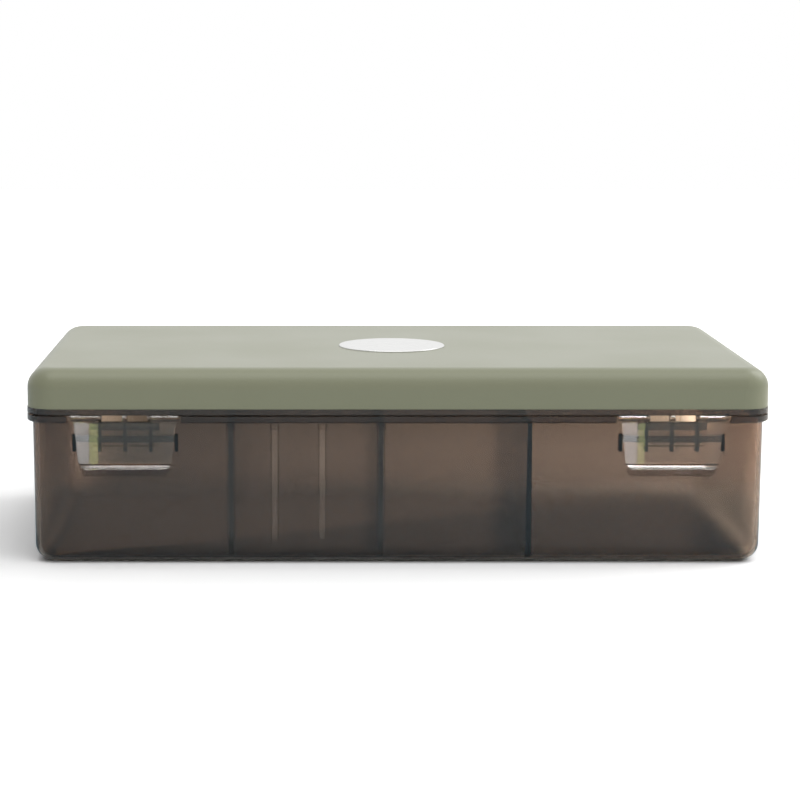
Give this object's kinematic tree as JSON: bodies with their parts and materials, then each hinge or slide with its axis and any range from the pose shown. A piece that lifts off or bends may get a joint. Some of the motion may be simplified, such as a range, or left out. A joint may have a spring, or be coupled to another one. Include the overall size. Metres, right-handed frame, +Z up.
{
  "type": "tackle box",
  "caption": "Shallow rectangular tackle box with a smoked translucent tub, olive hinged lid, snap latches at the front and lift-out dividers.",
  "frame": {"origin": "centre of the base, on the surface that the box stands on", "axes": "+Z up, -Y towards the latches at the front, +X to the right as seen from the front"},
  "size_m": [0.3606, 0.1997, 0.0963],
  "materials": {
    "smoked_tub": "satin translucent smoked polypropylene",
    "smoked_lid": "satin translucent smoked polypropylene, darker in the thick rim",
    "olive_cover": "fine matt texture, olive green",
    "badge_face": "blank brushed disc",
    "latch_clear": "satin translucent smoked polypropylene, paler than the tub",
    "pin_steel": "ground stainless wire",
    "divider_smoke": "satin translucent smoked polypropylene"
  },
  "bodies": {
    "tub": {"tub": "smoked_tub", "hinge_pin_left": "pin_steel", "hinge_pin_right": "pin_steel"},
    "lid": {"lid_frame": "smoked_lid", "lid_cover": "olive_cover", "lid_badge": "badge_face"},
    "latch_left": {"latch_left": "latch_clear"},
    "latch_right": {"latch_right": "latch_clear"},
    "divider_left": {"divider_left": "divider_smoke"},
    "divider_right": {"divider_right": "divider_smoke"}
  },
  "joints": [
    {"name": "lid_hinge", "type": "hinge", "parent": "tub", "child": "lid", "pos_m": [0, 0.098, 0.07325], "axis": [-1, 0, 0], "range_deg": [0, 105]},
    {"name": "latch_left_hinge", "type": "hinge", "parent": "lid", "child": "latch_left", "pos_m": [-0.132, -0.0945, 0.0723], "axis": [-1, 0, 0], "range_deg": [0, 100]},
    {"name": "latch_right_hinge", "type": "hinge", "parent": "lid", "child": "latch_right", "pos_m": [0.132, -0.0945, 0.0723], "axis": [-1, 0, 0], "range_deg": [0, 100]},
    {"name": "divider_left_lift", "type": "slide", "parent": "tub", "child": "divider_left", "axis": [0, 0, 1], "range_m": [0, 0.018]},
    {"name": "divider_right_lift", "type": "slide", "parent": "tub", "child": "divider_right", "axis": [0, 0, 1], "range_m": [0, 0.018]}
  ]
}
